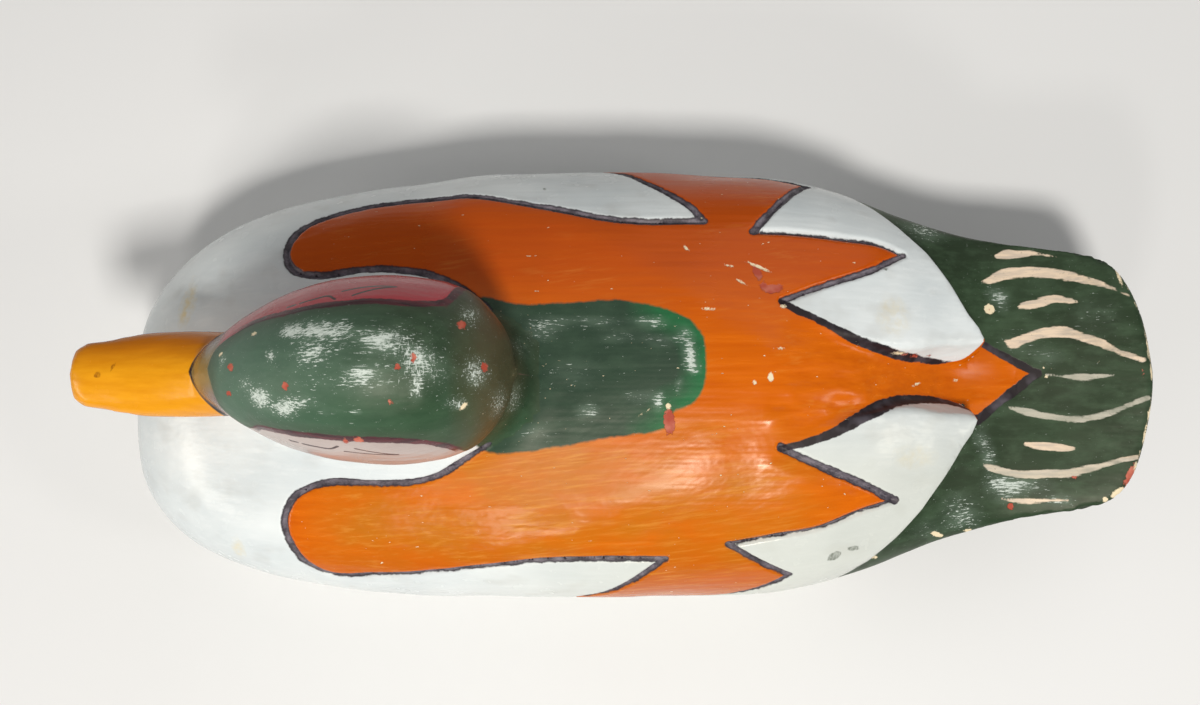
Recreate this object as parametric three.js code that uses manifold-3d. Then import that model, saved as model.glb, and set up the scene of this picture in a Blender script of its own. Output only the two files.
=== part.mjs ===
// A carved and painted wooden duck, cut as one block, in millimetres with +Z up.
// The bill points to -X and the tail to +X; the flat underside rests on z = 0.
// Stations along the duck are counted from the breast, 0, to the end of the tail, LENGTH.
import * as THREE from 'three';
import { mergeVertices } from 'three/addons/utils/BufferGeometryUtils.js';
import Module from 'manifold-3d';

const wasm = await Module();
wasm.setup();

// Driving dimensions
const LENGTH = 330;
const WIDTH = 140;
const HEIGHT = 150;
const BACK_HEIGHT = 88;
const GIRTH_LEVEL = 40;
const TAIL_END_HEIGHT = 61;
const HEAD_LENGTH = 92;
const HEAD_WIDTH = 52;
const HEAD_FRONT = 38;
const BILL_WIDTH = 25;
const GROOVE_WIDTH = 2.8;
const GROOVE_DEPTH = 1.3;
const WING_STEP_END = 274.6;
const LEFT_LOBE_SHORTER = 3;
const TAIL_ARC_RADIUS = 76;
const BREAST_DRIFT = 4.8;
const TAIL_DRIFT = 1;

const MIDDLE = LENGTH / 2;
const HEAD_END = HEAD_FRONT + HEAD_LENGTH;

// A smooth curve through [station, value] pairs that keeps each rise and fall between its own pairs
function profile(pairs) {
  const last = pairs.length - 1;
  const slope = pairs.slice(1).map((p, i) => (p[1] - pairs[i][1]) / (p[0] - pairs[i][0]));
  const bend = pairs.map((p, i) => {
    if (i === 0) return slope[0];
    if (i === last) return slope[last - 1];
    if (slope[i - 1] * slope[i] <= 0) return 0;
    const before = p[0] - pairs[i - 1][0];
    const after = pairs[i + 1][0] - p[0];
    const whole = 3 * (before + after);
    return whole / ((2 * after + before) / slope[i - 1] + (after + 2 * before) / slope[i]);
  });
  return (s) => {
    const at = Math.min(Math.max(s, pairs[0][0]), pairs[last][0]);
    let i = 0;
    while (i < last - 1 && at > pairs[i + 1][0]) i += 1;
    const h = pairs[i + 1][0] - pairs[i][0];
    const t = (at - pairs[i][0]) / h;
    const u = 1 - t;
    return (1 + 2 * t) * u * u * pairs[i][1] + t * u * u * h * bend[i]
      + t * t * (3 - 2 * t) * pairs[i + 1][1] - t * t * u * h * bend[i + 1];
  };
}

// Half of a rounded end: 0 at the end and 1 from `run` on, squarer as the power grows
function roundEnd(distance, run, power) {
  const t = Math.min(Math.max(1 - distance / run, 0), 1);
  return (1 - t ** power) ** (1 / power);
}

// Profiles of the body along its length
const flankBehind = profile([
  [MIDDLE, WIDTH / 2], [208, 68.8], [222, 66.4], [235, 62.4], [244, 59],
  [252, 55.7], [264, 51.2], [283, 46.6], [300, 43.8], [LENGTH, 41],
]);
const flankAhead = (s) => (WIDTH / 2) * roundEnd(s, MIDDLE, 2.95);
// The tail ends in a shallow arc whose corners are rounded into the sides
const tailArc = (s) => Math.sqrt(Math.max(LENGTH - s, 0) * TAIL_ARC_RADIUS * 2);
const flank = (s) => (s < MIDDLE
  ? flankAhead(s)
  : ((flankBehind(s) + 1e-3) ** -6 + (tailArc(s) + 1e-3) ** -6) ** (-1 / 6));
// The breast was cut away more on one side and the tail on the other, so the middle line drifts
const drift = profile([
  [0, -BREAST_DRIFT], [25, -0.7 * BREAST_DRIFT], [60, -0.42 * BREAST_DRIFT], [95, -0.2 * BREAST_DRIFT],
  [120, 0], [240, 0], [285, 0.6 * TAIL_DRIFT], [300, TAIL_DRIFT], [LENGTH, TAIL_DRIFT],
]);
const back = profile([
  [0, GIRTH_LEVEL], [2, 47], [6, 54.5], [20, 65.5], [40, 74], [60, 79.5], [90, 84], [130, 87],
  [MIDDLE, BACK_HEIGHT], [200, 87], [235, 81.5], [255, 75], [270, 69.5], [LENGTH, 66],
]);
const rumpTop = profile([
  [200, 78], [235, 72], [255, 64.5], [270, 58], [285, 54.5], [300, 55], [LENGTH, TAIL_END_HEIGHT],
]);
const girth = profile([
  [0, 38], [40, GIRTH_LEVEL], [120, GIRTH_LEVEL], [220, 42], [250, 45], [283, 50], [LENGTH, 58],
]);
const belly = profile([
  [0, 38], [2, 31], [6, 23], [14, 12.5], [30, 2], [60, -7], [90, -11], [200, -12], [235, -5],
  [250, 3], [268, 17], [285, 33], [305, 46], [LENGTH, 54.5],
]);

// One point of a section: angle 0 is up and a quarter turn is to +Y
function sectionPoint(shape, s, angle) {
  const across = Math.sin(angle);
  const up = Math.cos(angle);
  const power = 2 / (up > 0 ? shape.topPower : shape.bottomPower);
  const rise = up > 0 ? shape.top(s) - shape.mid(s) : shape.mid(s) - shape.bottom(s);
  return new THREE.Vector3(
    s - MIDDLE,
    drift(s) * shape.drift + shape.half(s) * Math.sign(across) * Math.abs(across) ** power,
    shape.mid(s) + rise * Math.sign(up) * Math.abs(up) ** power,
  );
}

const bodyShape = {
  half: flank, top: back, mid: girth, bottom: belly, topPower: 2.3, bottomPower: 2.3, drift: 1,
};
// The rump lies under the folded wings; it is drawn a little wider so that its cut ends cleanly
const rumpShape = {
  half: (s) => flank(s) + 0.6,
  top: rumpTop,
  mid: girth,
  bottom: () => -20,
  topPower: 2.4, bottomPower: 6, drift: 1,
};
const headShape = {
  half: (s) => profile([
    [HEAD_FRONT, 6], [45, 9], [57, 16.5], [70, 22], [84, 25.2], [97, HEAD_WIDTH / 2],
    [110, 24.6], [118, 22], [HEAD_END, 17],
  ])(s) * roundEnd(s - HEAD_FRONT, 8, 2) * roundEnd(HEAD_END - s, 13, 2),
  top: profile([
    [HEAD_FRONT, 106], [44, 118], [53, 129.5], [66, 140], [80, 147.5], [95, HEIGHT],
    [108, 147.5], [119, 139], [126, 129], [HEAD_END, 116],
  ]),
  mid: profile([[HEAD_FRONT, 104], [60, 109], [80, 113], [HEAD_END, 114]]),
  bottom: profile([
    [HEAD_FRONT, 101], [50, 94], [62, 89], [80, 86], [110, 87], [123, 96],
    [HEAD_END, 112],
  ]),
  topPower: 2.1,
  bottomPower: 2.1,
  drift: 0,
};
const billShape = {
  half: (s) => profile([[0, 8.4], [10, 9.9], [24, 12], [36, BILL_WIDTH / 2], [60, 11]])(s)
    * roundEnd(s, 6, 2.6),
  top: profile([[0, 98], [4, 99.8], [12, 101.4], [24, 104], [36, 107.5], [46, 111], [60, 116]]),
  mid: profile([[0, 96], [24, 97.5], [60, 101]]),
  bottom: profile([[0, 94.5], [4, 93.2], [12, 92.6], [36, 93.5], [60, 95]]),
  topPower: 1.8,
  bottomPower: 2.6,
  drift: 0,
};

const neckShape = {
  centre: profile([[70, 97], [90, 98], [112, 97]]),
  halfLength: profile([[70, 62], [78, 49], [84, 41.5], [90, 36.5], [98, 33.5], [112, 30]]),
  halfWidth: profile([[70, 46], [78, 34], [84, 27.5], [90, 23.5], [98, 21.5], [112, 20]]),
  levels: [70, 76, 80, 84, 87, 90, 94, 99, 112],
  power: 2.2,
};

// Turns rings of equal size, or single end points, into one closed solid
function closedSolid(rings) {
  const points = rings.flat();
  const faces = [];
  let start = 0;
  for (let r = 0; r + 1 < rings.length; r += 1) {
    const here = rings[r].length;
    const next = rings[r + 1].length;
    const ahead = start + here;
    const count = Math.max(here, next);
    for (let k = 0; k < count; k += 1) {
      const turn = (k + 1) % count;
      if (here > 1) faces.push(start + k, ahead + (next > 1 ? k : 0), start + turn);
      if (next > 1) faces.push(ahead + k, ahead + turn, start + (here > 1 ? turn : 0));
    }
    start = ahead;
  }
  const endStart = start;
  for (let k = 1; k + 1 < rings[0].length; k += 1) faces.push(0, k, k + 1);
  for (let k = 1; k + 1 < rings.at(-1).length; k += 1) {
    faces.push(endStart, endStart + k + 1, endStart + k);
  }
  const geometry = new THREE.BufferGeometry();
  const flat = points.flatMap((p) => [p.x, p.y, p.z]);
  geometry.setAttribute('position', new THREE.Float32BufferAttribute(flat, 3));
  geometry.setIndex(faces);
  return toManifold(geometry);
}

// Joins and cuts work on this form of a closed mesh
function toManifold(geometry) {
  geometry.deleteAttribute('normal');
  geometry.deleteAttribute('uv');
  const merged = mergeVertices(geometry, 1e-4);
  return new wasm.Manifold(new wasm.Mesh({
    numProp: 3,
    vertProperties: new Float32Array(merged.attributes.position.array),
    triVerts: new Uint32Array(merged.index.array),
  }));
}

// A lengthwise loft: sections at the stations, each a ring of `around` points
function loft(shape, stations, around) {
  return closedSolid(stations.map((s) => {
    if (shape.half(s) < 0.05) return [new THREE.Vector3(s - MIDDLE, 0, shape.mid(s))];
    const ring = Array.from({ length: around }, (_, k) => (2 * Math.PI * k) / around);
    return ring.map((angle) => sectionPoint(shape, s, angle));
  }));
}

// Stations that crowd towards the start and the end as the two powers grow
function stationsBetween(from, to, count, startPower, endPower) {
  return Array.from({ length: count + 1 }, (_, i) => {
    const t = i / count;
    const near = t ** startPower;
    const far = 1 - (1 - t) ** endPower;
    return from + (to - from) * (near * (1 - t) + far * t);
  });
}

// The neck rises from the back as level ovals that flare at the foot
function makeNeck() {
  return closedSolid(neckShape.levels.map((z) => Array.from({ length: 32 }, (_, k) => {
    const angle = (-2 * Math.PI * k) / 32;
    const along = Math.cos(angle);
    const across = Math.sin(angle);
    const power = 2 / neckShape.power;
    return new THREE.Vector3(
      neckShape.centre(z) - MIDDLE + neckShape.halfLength(z) * Math.sign(along) * Math.abs(along) ** power,
      neckShape.halfWidth(z) * Math.sign(across) * Math.abs(across) ** power,
      z,
    );
  })));
}

// The folded wings end in two rounded lobes: the outline of the right one seen from above
const wingOutline = [
  [222, 90], [222, 74], [231, 64], [242, 56], [249, 49], [257, 40], [264, 30],
  [269.4, 21], [272.8, 16.5], [WING_STEP_END, 12.5], [WING_STEP_END - 0.8, 9], [WING_STEP_END - 4.6, 6.2],
  [262, 4.5],
];

// The room over the rump and tail, behind the outline of the wings
function makeTailCut() {
  const behind = [[LENGTH + 20, -90], [LENGTH + 20, 90], ...wingOutline];
  const left = wingOutline.map(([s, y]) => [s - LEFT_LOBE_SHORTER, -y]).reverse();
  const outline = [...behind, ...left].map(([s, y]) => new THREE.Vector2(s - MIDDLE, y));
  const block = new THREE.ExtrudeGeometry(new THREE.Shape(outline), { depth: 100, bevelEnabled: false });
  block.translate(0, 0, 30);
  const rump = loft(rumpShape, [...stationsBetween(195, LENGTH, 18, 1, 1.8), LENGTH + 30], 40);
  return toManifold(block).subtract(rump);
}

// The hollow that runs down the middle of the back between the two lobes
const hollowFloor = profile([
  [196, 90], [209, 86.2], [225, 81.5], [240, 75], [252, 67.6], [262, 61], [270, 57.4], [285, 54.3],
]);
const hollowHalfWidth = profile([[196, 24], [209, 20.5], [222, 14.5], [235, 9.5], [250, 5.5], [285, 5]]);
function makeHollow() {
  const stations = stationsBetween(196, 285, 10, 1, 1);
  const rim = 100;
  return closedSolid(stations.map((s) => {
    const floor = hollowFloor(s);
    const half = hollowHalfWidth(s);
    const flare = (rim - floor) * 0.55;
    return [[-half - flare, rim], [half + flare, rim], [half, floor], [-half, floor]]
      .map(([y, z]) => new THREE.Vector3(s - MIDDLE, y, z));
  }));
}

// The carved outlines of the painted wings, one list for each side of the duck.
// Each point is [station, degrees about the length from straight up, at FAN_HEIGHT].
const FAN_HEIGHT = 30;
const wingFront = {
  right: [
    [121, 18.7], [116, 23], [110, 27.5], [101.5, 31.7], [84, 35], [67, 35.5], [59, 39], [56, 46], [60, 53.5],
    [70, 57], [92, 58], [110, 57], [136, 51], [161, 46], [186, 46],
  ],
  left: [
    [121, 18.7], [117, 21.2], [112.3, 24.2], [106.6, 27.9], [99.6, 30.2], [85.6, 31.2], [73.5, 31.5],
    [65.4, 34], [59.6, 38.4], [56.9, 45.2], [58.2, 52], [62.7, 58.5], [70.2, 62.1], [82.8, 60.8], [97.5, 59],
    [112, 56.4], [135, 53], [155, 52], [174, 52],
  ],
};
const wingFlank = {
  right: [
    [186, 46], [183, 50], [176, 56], [167, 64], [159, 72], [152, 77], [150, 81], [154, 83],
    [165, 81], [180, 76.5], [195, 72], [209, 69], [221, 66],
  ],
  left: [
    [174, 52], [170, 55], [163, 61], [156, 67], [149, 73], [145, 78], [146, 82], [151, 84],
    [162, 83], [177, 79.5], [191, 74], [203, 67], [213, 60],
  ],
};
const wingPoint = {
  right: [[221, 66], [211, 54], [201, 43]],
  left: [[213, 60], [203, 54], [193, 48]],
};
const wingFeather = {
  right: [[201, 43], [215, 43.5], [229, 44], [243, 45], [249, 44]],
  left: [[193, 48], [208, 46], [221, 45], [234, 42], [244.5, 41]],
};
const wingNotch = {
  right: [[249, 44], [238, 36], [225, 30], [209, 23]],
  left: [[244.5, 41], [234, 34], [222, 28], [208, 21]],
};

// Whether a point lies in the flared foot of the neck
function insideNeck(s, y, z) {
  if (z < neckShape.levels[0] || z > neckShape.levels.at(-1)) return false;
  const along = Math.abs(s - neckShape.centre(z)) / neckShape.halfLength(z);
  const across = Math.abs(y) / neckShape.halfWidth(z);
  return along ** neckShape.power + across ** neckShape.power < 1;
}

// Where a ray leaves the body or the neck, at a station and an angle from straight up
function surfacePoint(s, degrees) {
  const angle = THREE.MathUtils.degToRad(degrees);
  const [across, up] = [Math.sin(angle), Math.cos(angle)];
  let near = 0;
  let far = WIDTH;
  for (let i = 0; i < 40; i += 1) {
    const reach = (near + far) / 2;
    const z = FAN_HEIGHT + reach * up;
    const above = z > girth(s);
    const power = above ? bodyShape.topPower : bodyShape.bottomPower;
    const rise = above ? back(s) - girth(s) : girth(s) - belly(s);
    const fill = Math.abs(reach * across / flank(s)) ** power + Math.abs((z - girth(s)) / rise) ** power;
    if (fill < 1 || insideNeck(s, drift(s) + reach * across, z)) near = reach;
    else far = reach;
  }
  return new THREE.Vector3(s - MIDDLE, drift(s) + near * across, FAN_HEIGHT + near * up);
}

function surfaceNormal(s, degrees) {
  const along = surfacePoint(s + 0.5, degrees).sub(surfacePoint(s - 0.5, degrees));
  const around = surfacePoint(s, degrees + 0.5).sub(surfacePoint(s, degrees - 0.5));
  return around.cross(along).normalize();
}

// A V-shaped groove along a smooth line of [station, degrees] points, about `step` mm apart
function groove(line, side, step = 6) {
  const corners = line.map(([s, deg]) => new THREE.Vector3(s, deg * side, 0));
  const curve = new THREE.CatmullRomCurve3(corners, false, 'centripetal');
  const rough = curve.getPoints(60).map((p) => surfacePoint(p.x, p.y));
  const length = rough.slice(1).reduce((sum, p, i) => sum + p.distanceTo(rough[i]), 0);
  const count = Math.max(3, Math.round(length / step));
  const path = curve.getPoints(count);
  const points = path.map((p) => surfacePoint(p.x, p.y));
  const lift = 1.2;
  const spread = (GROOVE_WIDTH / 2) * (1 + lift / GROOVE_DEPTH);
  return closedSolid(path.map((p, i) => {
    const ahead = points[Math.min(i + 1, count)].clone().sub(points[Math.max(i - 1, 0)]).normalize();
    const normal = surfaceNormal(p.x, p.y);
    const across = new THREE.Vector3().crossVectors(ahead, normal).normalize();
    const at = (sideways, out) => points[i].clone()
      .addScaledVector(across, sideways)
      .addScaledVector(normal, out);
    return [at(0, -GROOVE_DEPTH), at(spread, lift), at(-spread, lift)];
  }));
}

function makeGrooves() {
  return [wingFront, wingFlank, wingPoint, wingFeather, wingNotch].flatMap((line) => [
    groove(line.right, 1),
    groove(line.left, -1),
  ]);
}

function makeBody() {
  const body = loft(bodyShape, stationsBetween(0, LENGTH, 36, 1.7, 2.1), 44);
  return body.subtract(makeTailCut()).subtract(makeHollow());
}

function makeHead() {
  const head = loft(headShape, stationsBetween(HEAD_FRONT, HEAD_END, 18, 1.6, 1.8), 32);
  const bill = loft(billShape, stationsBetween(0, 60, 14, 1.8, 1), 24);
  return head.add(bill).add(makeNeck());
}

// Everything below the flat underside is planed away
function underside() {
  const slab = new THREE.BoxGeometry(2 * LENGTH, 2 * WIDTH, 60);
  slab.translate(0, 0, -30);
  return toManifold(slab);
}

function toGeometry(solid) {
  const mesh = solid.getMesh();
  const geometry = new THREE.BufferGeometry();
  geometry.setAttribute('position', new THREE.BufferAttribute(mesh.vertProperties, 3));
  geometry.setIndex(new THREE.BufferAttribute(mesh.triVerts, 1));
  geometry.computeVertexNormals();
  return geometry;
}

let duckSolid = makeBody().add(makeHead()).subtract(underside());
for (const cut of makeGrooves()) duckSolid = duckSolid.subtract(cut);

const duck = new THREE.Mesh(
  toGeometry(duckSolid),
  new THREE.MeshStandardMaterial({ color: 0xd9822b, roughness: 0.45, metalness: 0 }),
);
duck.name = 'carved_duck';

const group = new THREE.Group();
group.name = 'carved_wooden_duck';
group.add(duck);

export default group;
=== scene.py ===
# A carved and painted wooden duck seen from above: one mesh worked out from the sizes of the part,
# with its painted pattern carried as distances in millimetres on the mesh's points.
import math
from itertools import product

import bpy
import numpy as np
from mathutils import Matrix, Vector


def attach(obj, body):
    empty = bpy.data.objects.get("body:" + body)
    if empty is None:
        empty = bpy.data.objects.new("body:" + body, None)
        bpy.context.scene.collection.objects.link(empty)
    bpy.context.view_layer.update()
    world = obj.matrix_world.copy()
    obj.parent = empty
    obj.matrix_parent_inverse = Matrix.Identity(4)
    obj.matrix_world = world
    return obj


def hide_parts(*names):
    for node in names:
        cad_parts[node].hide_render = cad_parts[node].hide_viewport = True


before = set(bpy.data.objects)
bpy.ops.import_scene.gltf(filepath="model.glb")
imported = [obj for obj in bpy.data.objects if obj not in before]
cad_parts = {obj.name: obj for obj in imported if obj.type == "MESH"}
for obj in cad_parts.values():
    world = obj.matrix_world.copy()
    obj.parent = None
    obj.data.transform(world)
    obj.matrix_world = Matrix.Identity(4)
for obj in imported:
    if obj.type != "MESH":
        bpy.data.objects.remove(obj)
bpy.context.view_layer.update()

# Sizes of the part, in millimetres: stations run from the breast, 0, to the end of the tail
LENGTH = 330.0
WIDTH = 140.0
HEIGHT = 150.0
BACK_HEIGHT = 88.0
GIRTH_LEVEL = 40.0
TAIL_END_HEIGHT = 61.0
HEAD_LENGTH = 92.0
HEAD_WIDTH = 52.0
HEAD_FRONT = 38.0
BILL_WIDTH = 25.0
GROOVE_WIDTH = 2.8
GROOVE_DEPTH = 1.3
WING_STEP_END = 274.6
LEFT_LOBE_SHORTER = 3.0
TAIL_ARC_RADIUS = 76.0
BREAST_DRIFT = 4.8
TAIL_DRIFT = 1.0
END_SKEW = 0.12
FAN_HEIGHT = 30.0
HOLLOW_START = 196
HOLLOW_END = 288
HOLLOW_FLARE = 0.55
NECK_BASE = 66
NECK_TOP = 112
BILL_ROOT = 60
CHIN_LEVEL = 88
GREEN_FLANK_START = 234
MIDDLE = LENGTH / 2
HEAD_END = HEAD_FRONT + HEAD_LENGTH

# How square its sections are: 2 is an ellipse
BODY_POWER, RUMP_POWER, RUMP_LOWER_POWER = 2.3, 2.4, 6
HEAD_POWER, NECK_POWER = 2.1, 2.2
BILL_POWER, BILL_LOWER_POWER = 1.8, 2.6

# How far its edges are rounded and its inner corners filled
BREAST_EDGE, TAIL_END_EDGE, WING_EDGE, BASE_EDGE, BILL_EDGE = 5, 2.4, 0.9, 1.6, 2.0
WING_FILL, HOLLOW_EDGE, HOLLOW_FILL, NECK_FILL, BILL_FILL, BACK_FILL = 1.6, 1.2, 3.0, 7, 1.6, 6

MM = 0.001
UP = np.array([0.0, 0.0, 1.0])

# The camera: its place in metres, its sensor in millimetres, the rest in pixels of a picture this wide
PICTURE_WIDTH = 1200.0
SENSOR_WIDTH = 36.0
FOCAL_LENGTH = 1320.0
CAMERA_PLACE = (-0.011, -0.0233, 0.480)
CAMERA_TILT = 102.5

# The mesh: its grid, the longest edges on the pattern and on the eyes, and how far from lines, eyes, chips
# and the borders of colours it is that fine. Points this near to a groove's line are moved on to it.
GRID = 1.9
LONGEST_EDGE = 0.75 * 1.45
LONGEST_EYE_EDGE = 0.75 * 0.5
LINE_REACH, EYE_REACH, CHIP_REACH, BORDER_REACH = 3.2, 1.2, 1.8, 1.3
SNAP_REACH = 0.34

# How far from its edge a colour's distance is worked out
FAR = 12.0


def cubic(t, run, start, end, slope_at_start, slope_at_end):
    """A curve from start to end, as t goes from 0 to 1, with the slopes at both."""
    u = 1 - t
    return ((1 + 2 * t) * u * u * start + t * u * u * run * slope_at_start
            + t * t * (3 - 2 * t) * end - t * t * u * run * slope_at_end)


def profile(pairs):
    """A smooth curve through (station, value) pairs that keeps each rise and fall between its own pairs."""
    xs, ys = np.array(pairs, float).T
    run = np.diff(xs)
    slope = np.diff(ys) / run
    bend = np.empty(len(xs))
    bend[0], bend[-1] = slope[0], slope[-1]
    for i in range(1, len(xs) - 1):
        before, after = run[i - 1], run[i]
        if slope[i - 1] * slope[i] <= 0:
            bend[i] = 0
        else:
            weights = (2 * after + before) / slope[i - 1] + (after + 2 * before) / slope[i]
            bend[i] = 3 * (before + after) / weights

    def value(s):
        s = np.clip(s, xs[0], xs[-1])
        i = np.clip(np.searchsorted(xs, s, side="right") - 1, 0, len(run) - 1)
        return cubic((s - xs[i]) / run[i], run[i], ys[i], ys[i + 1], bend[i], bend[i + 1])

    return value


def round_end(distance, run, power):
    """Half of a rounded end: 0 at the end and 1 from run on."""
    t = np.clip(1 - distance / run, 0, 1)
    return (1 - t ** power) ** (1 / power)


flank_behind = profile([
    (MIDDLE, WIDTH / 2), (208, 68.8), (222, 66.4), (235, 62.4), (244, 59), (252, 55.7), (264, 51.2),
    (283, 46.6), (300, 43.8), (LENGTH, 41),
])


def flank(s):
    ahead = (WIDTH / 2) * round_end(s, MIDDLE, 2.95)
    tail_arc = np.sqrt(np.maximum(LENGTH - s, 0) * TAIL_ARC_RADIUS * 2)
    behind = ((flank_behind(s) + 1e-3) ** -6 + (tail_arc + 1e-3) ** -6) ** (-1 / 6)
    return np.where(s < MIDDLE, ahead, behind)


drift = profile([
    (0, -BREAST_DRIFT), (25, -0.7 * BREAST_DRIFT), (60, -0.42 * BREAST_DRIFT), (95, -0.2 * BREAST_DRIFT),
    (120, 0), (240, 0), (285, 0.6 * TAIL_DRIFT), (300, TAIL_DRIFT), (LENGTH, TAIL_DRIFT),
])
back = profile([
    (0, GIRTH_LEVEL), (2, 47), (6, 54.5), (20, 65.5), (40, 74), (60, 79.5), (90, 84), (130, 87),
    (MIDDLE, BACK_HEIGHT), (200, 87), (235, 81.5), (255, 75), (270, 69.5), (LENGTH, 66),
])
rump_top = profile([
    (200, 78), (235, 72), (255, 64.5), (270, 58), (285, 54.5), (300, 55), (LENGTH, TAIL_END_HEIGHT),
])
girth = profile([
    (0, 38), (40, GIRTH_LEVEL), (120, GIRTH_LEVEL), (220, 42), (250, 45), (283, 50), (LENGTH, 58),
])
belly = profile([
    (0, 38), (2, 31), (6, 23), (14, 12.5), (30, 2), (60, -7), (90, -11), (200, -12), (235, -5), (250, 3),
    (268, 17), (285, 33), (305, 46), (LENGTH, 54.5),
])
head_half_plan = profile([
    (HEAD_FRONT, 6), (45, 9), (57, 16.5), (70, 22), (84, 25.2), (97, HEAD_WIDTH / 2), (110, 24.6), (118, 22),
    (HEAD_END, 17),
])
head_top = profile([
    (HEAD_FRONT, 106), (44, 118), (53, 129.5), (66, 140), (80, 147.5), (95, HEIGHT), (108, 147.5), (119, 139),
    (126, 129), (HEAD_END, 116),
])
head_mid = profile([(HEAD_FRONT, 104), (60, 109), (80, 113), (HEAD_END, 114)])
head_bottom = profile([
    (HEAD_FRONT, 101), (50, 94), (62, 89), (80, 86), (110, 87), (123, 96), (HEAD_END, 112),
])
bill_plan = profile([(0, 8.4), (10, 9.9), (24, 12), (36, BILL_WIDTH / 2), (BILL_ROOT, 11)])
bill_top = profile([(0, 98), (4, 99.8), (12, 101.4), (24, 104), (36, 107.5), (46, 111), (BILL_ROOT, 116)])
bill_mid = profile([(0, 96), (24, 97.5), (BILL_ROOT, 101)])
bill_bottom = profile([(0, 94.5), (4, 93.2), (12, 92.6), (36, 93.5), (BILL_ROOT, 95)])
neck_centre = profile([(70, 97), (90, 98), (NECK_TOP, 97)])
neck_half_length = profile([(70, 62), (78, 49), (84, 41.5), (90, 36.5), (98, 33.5), (NECK_TOP, 30)])
neck_half_width = profile([(70, 46), (78, 34), (84, 27.5), (90, 23.5), (98, 21.5), (NECK_TOP, 20)])
hollow_floor = profile([
    (HOLLOW_START, 90), (209, 86.2), (225, 81.5), (240, 75), (252, 67.6), (262, 61), (270, 57.4), (285, 54.3),
])
hollow_half = profile([(HOLLOW_START, 24), (209, 20.5), (222, 14.5), (235, 9.5), (250, 5.5), (285, 5)])
WING_OUTLINE = [
    (200, 90), (222, 74), (231, 64), (242, 56), (249, 49), (257, 40), (264, 30), (269.4, 21), (272.8, 16.5),
    (WING_STEP_END, 12.5), (WING_STEP_END - 0.8, 9), (WING_STEP_END - 4.6, 6.2), (262, 4.5),
]


def smooth_min(a, b, reach):
    """The lower of two fields, with the corner between them filled over the reach."""
    h = np.maximum(reach - np.abs(a - b), 0) / reach
    return np.minimum(a, b) - h * h * reach / 4


def smooth_max(a, b, reach):
    return -smooth_min(-a, -b, reach)


def section(y, z, half, top, mid, bottom, top_power, bottom_power):
    """About how far, in millimetres, a point lies outside a section with unlike halves."""
    upper = z > mid
    half = np.maximum(half, 0.4)
    rise = np.maximum(np.where(upper, top - mid, mid - bottom), 0.4)
    power = np.where(upper, top_power, bottom_power)
    a = np.abs(y) / half
    b = np.abs(z - mid) / rise
    a_part, b_part = a ** (power - 1), b ** (power - 1)
    r = np.maximum((a_part * a + b_part * b) ** (1 / power), 0.15)
    steepness = np.hypot(a_part / half, b_part / rise) * r ** (1 - power)
    return (r - 1) / np.maximum(steepness, 1e-3)


def sides_of(outline):
    """The two ends of each side of a closed outline."""
    corners = np.asarray(outline, float)
    return zip(corners, np.roll(corners, -1, axis=0))


def inside_outline(a, b, outline):
    """Whether points (a, b) lie inside a closed outline."""
    inside = np.zeros(np.broadcast(a, b).shape, bool)
    for (a0, b0), (a1, b1) in sides_of(outline):
        if b0 != b1:
            inside ^= ((b0 > b) != (b1 > b)) & (a < a0 + (b - b0) * (a1 - a0) / (b1 - b0))
    return inside


def plan_distance(s, y, outline):
    """Signed distance in plan from a closed outline, negative inside."""
    best = np.full(np.broadcast(s, y).shape, np.inf)
    for (s0, y0), (s1, y1) in sides_of(outline):
        ds, dy = s1 - s0, y1 - y0
        t = np.clip(((s - s0) * ds + (y - y0) * dy) / (ds * ds + dy * dy), 0, 1)
        best = np.minimum(best, np.hypot(s - s0 - t * ds, y - y0 - t * dy))
    return np.where(inside_outline(s, y, outline), -best, best)


WINGS_IN_PLAN = [(-60, -120), (-60, 120), (200, 120)] + WING_OUTLINE
WINGS_IN_PLAN += [(s - LEFT_LOBE_SHORTER, -y) for s, y in reversed(WING_OUTLINE)] + [(197, -120)]


def body_field(s, y, z):
    """The body with its wings and tail: negative in the wood, as each field below."""
    ahead = -s
    s = np.maximum(s, 0.8)
    centred = y - drift(s)
    body = section(centred, z, flank(s), back(s), girth(s), belly(s), BODY_POWER, BODY_POWER)
    rump = section(centred, z, flank(s) + 0.6, rump_top(s), girth(s), -20, RUMP_POWER, RUMP_LOWER_POWER)
    kept = smooth_min(plan_distance(s, y, WINGS_IN_PLAN), rump, WING_FILL)
    body = smooth_max(body, kept, WING_EDGE)
    floor = hollow_floor(s)
    wall = (np.abs(y) - hollow_half(s) - (z - floor) * HOLLOW_FLARE) / math.hypot(1, HOLLOW_FLARE)
    hollow = smooth_max(floor - z, wall, HOLLOW_FILL)
    hollow = np.maximum(hollow, np.maximum(HOLLOW_START - s, s - HOLLOW_END))
    body = smooth_max(body, -hollow, HOLLOW_EDGE)
    end = s - LENGTH + END_SKEW * np.maximum(centred - 2, 0)
    return smooth_max(smooth_max(body, end, TAIL_END_EDGE), ahead, BREAST_EDGE)


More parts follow.
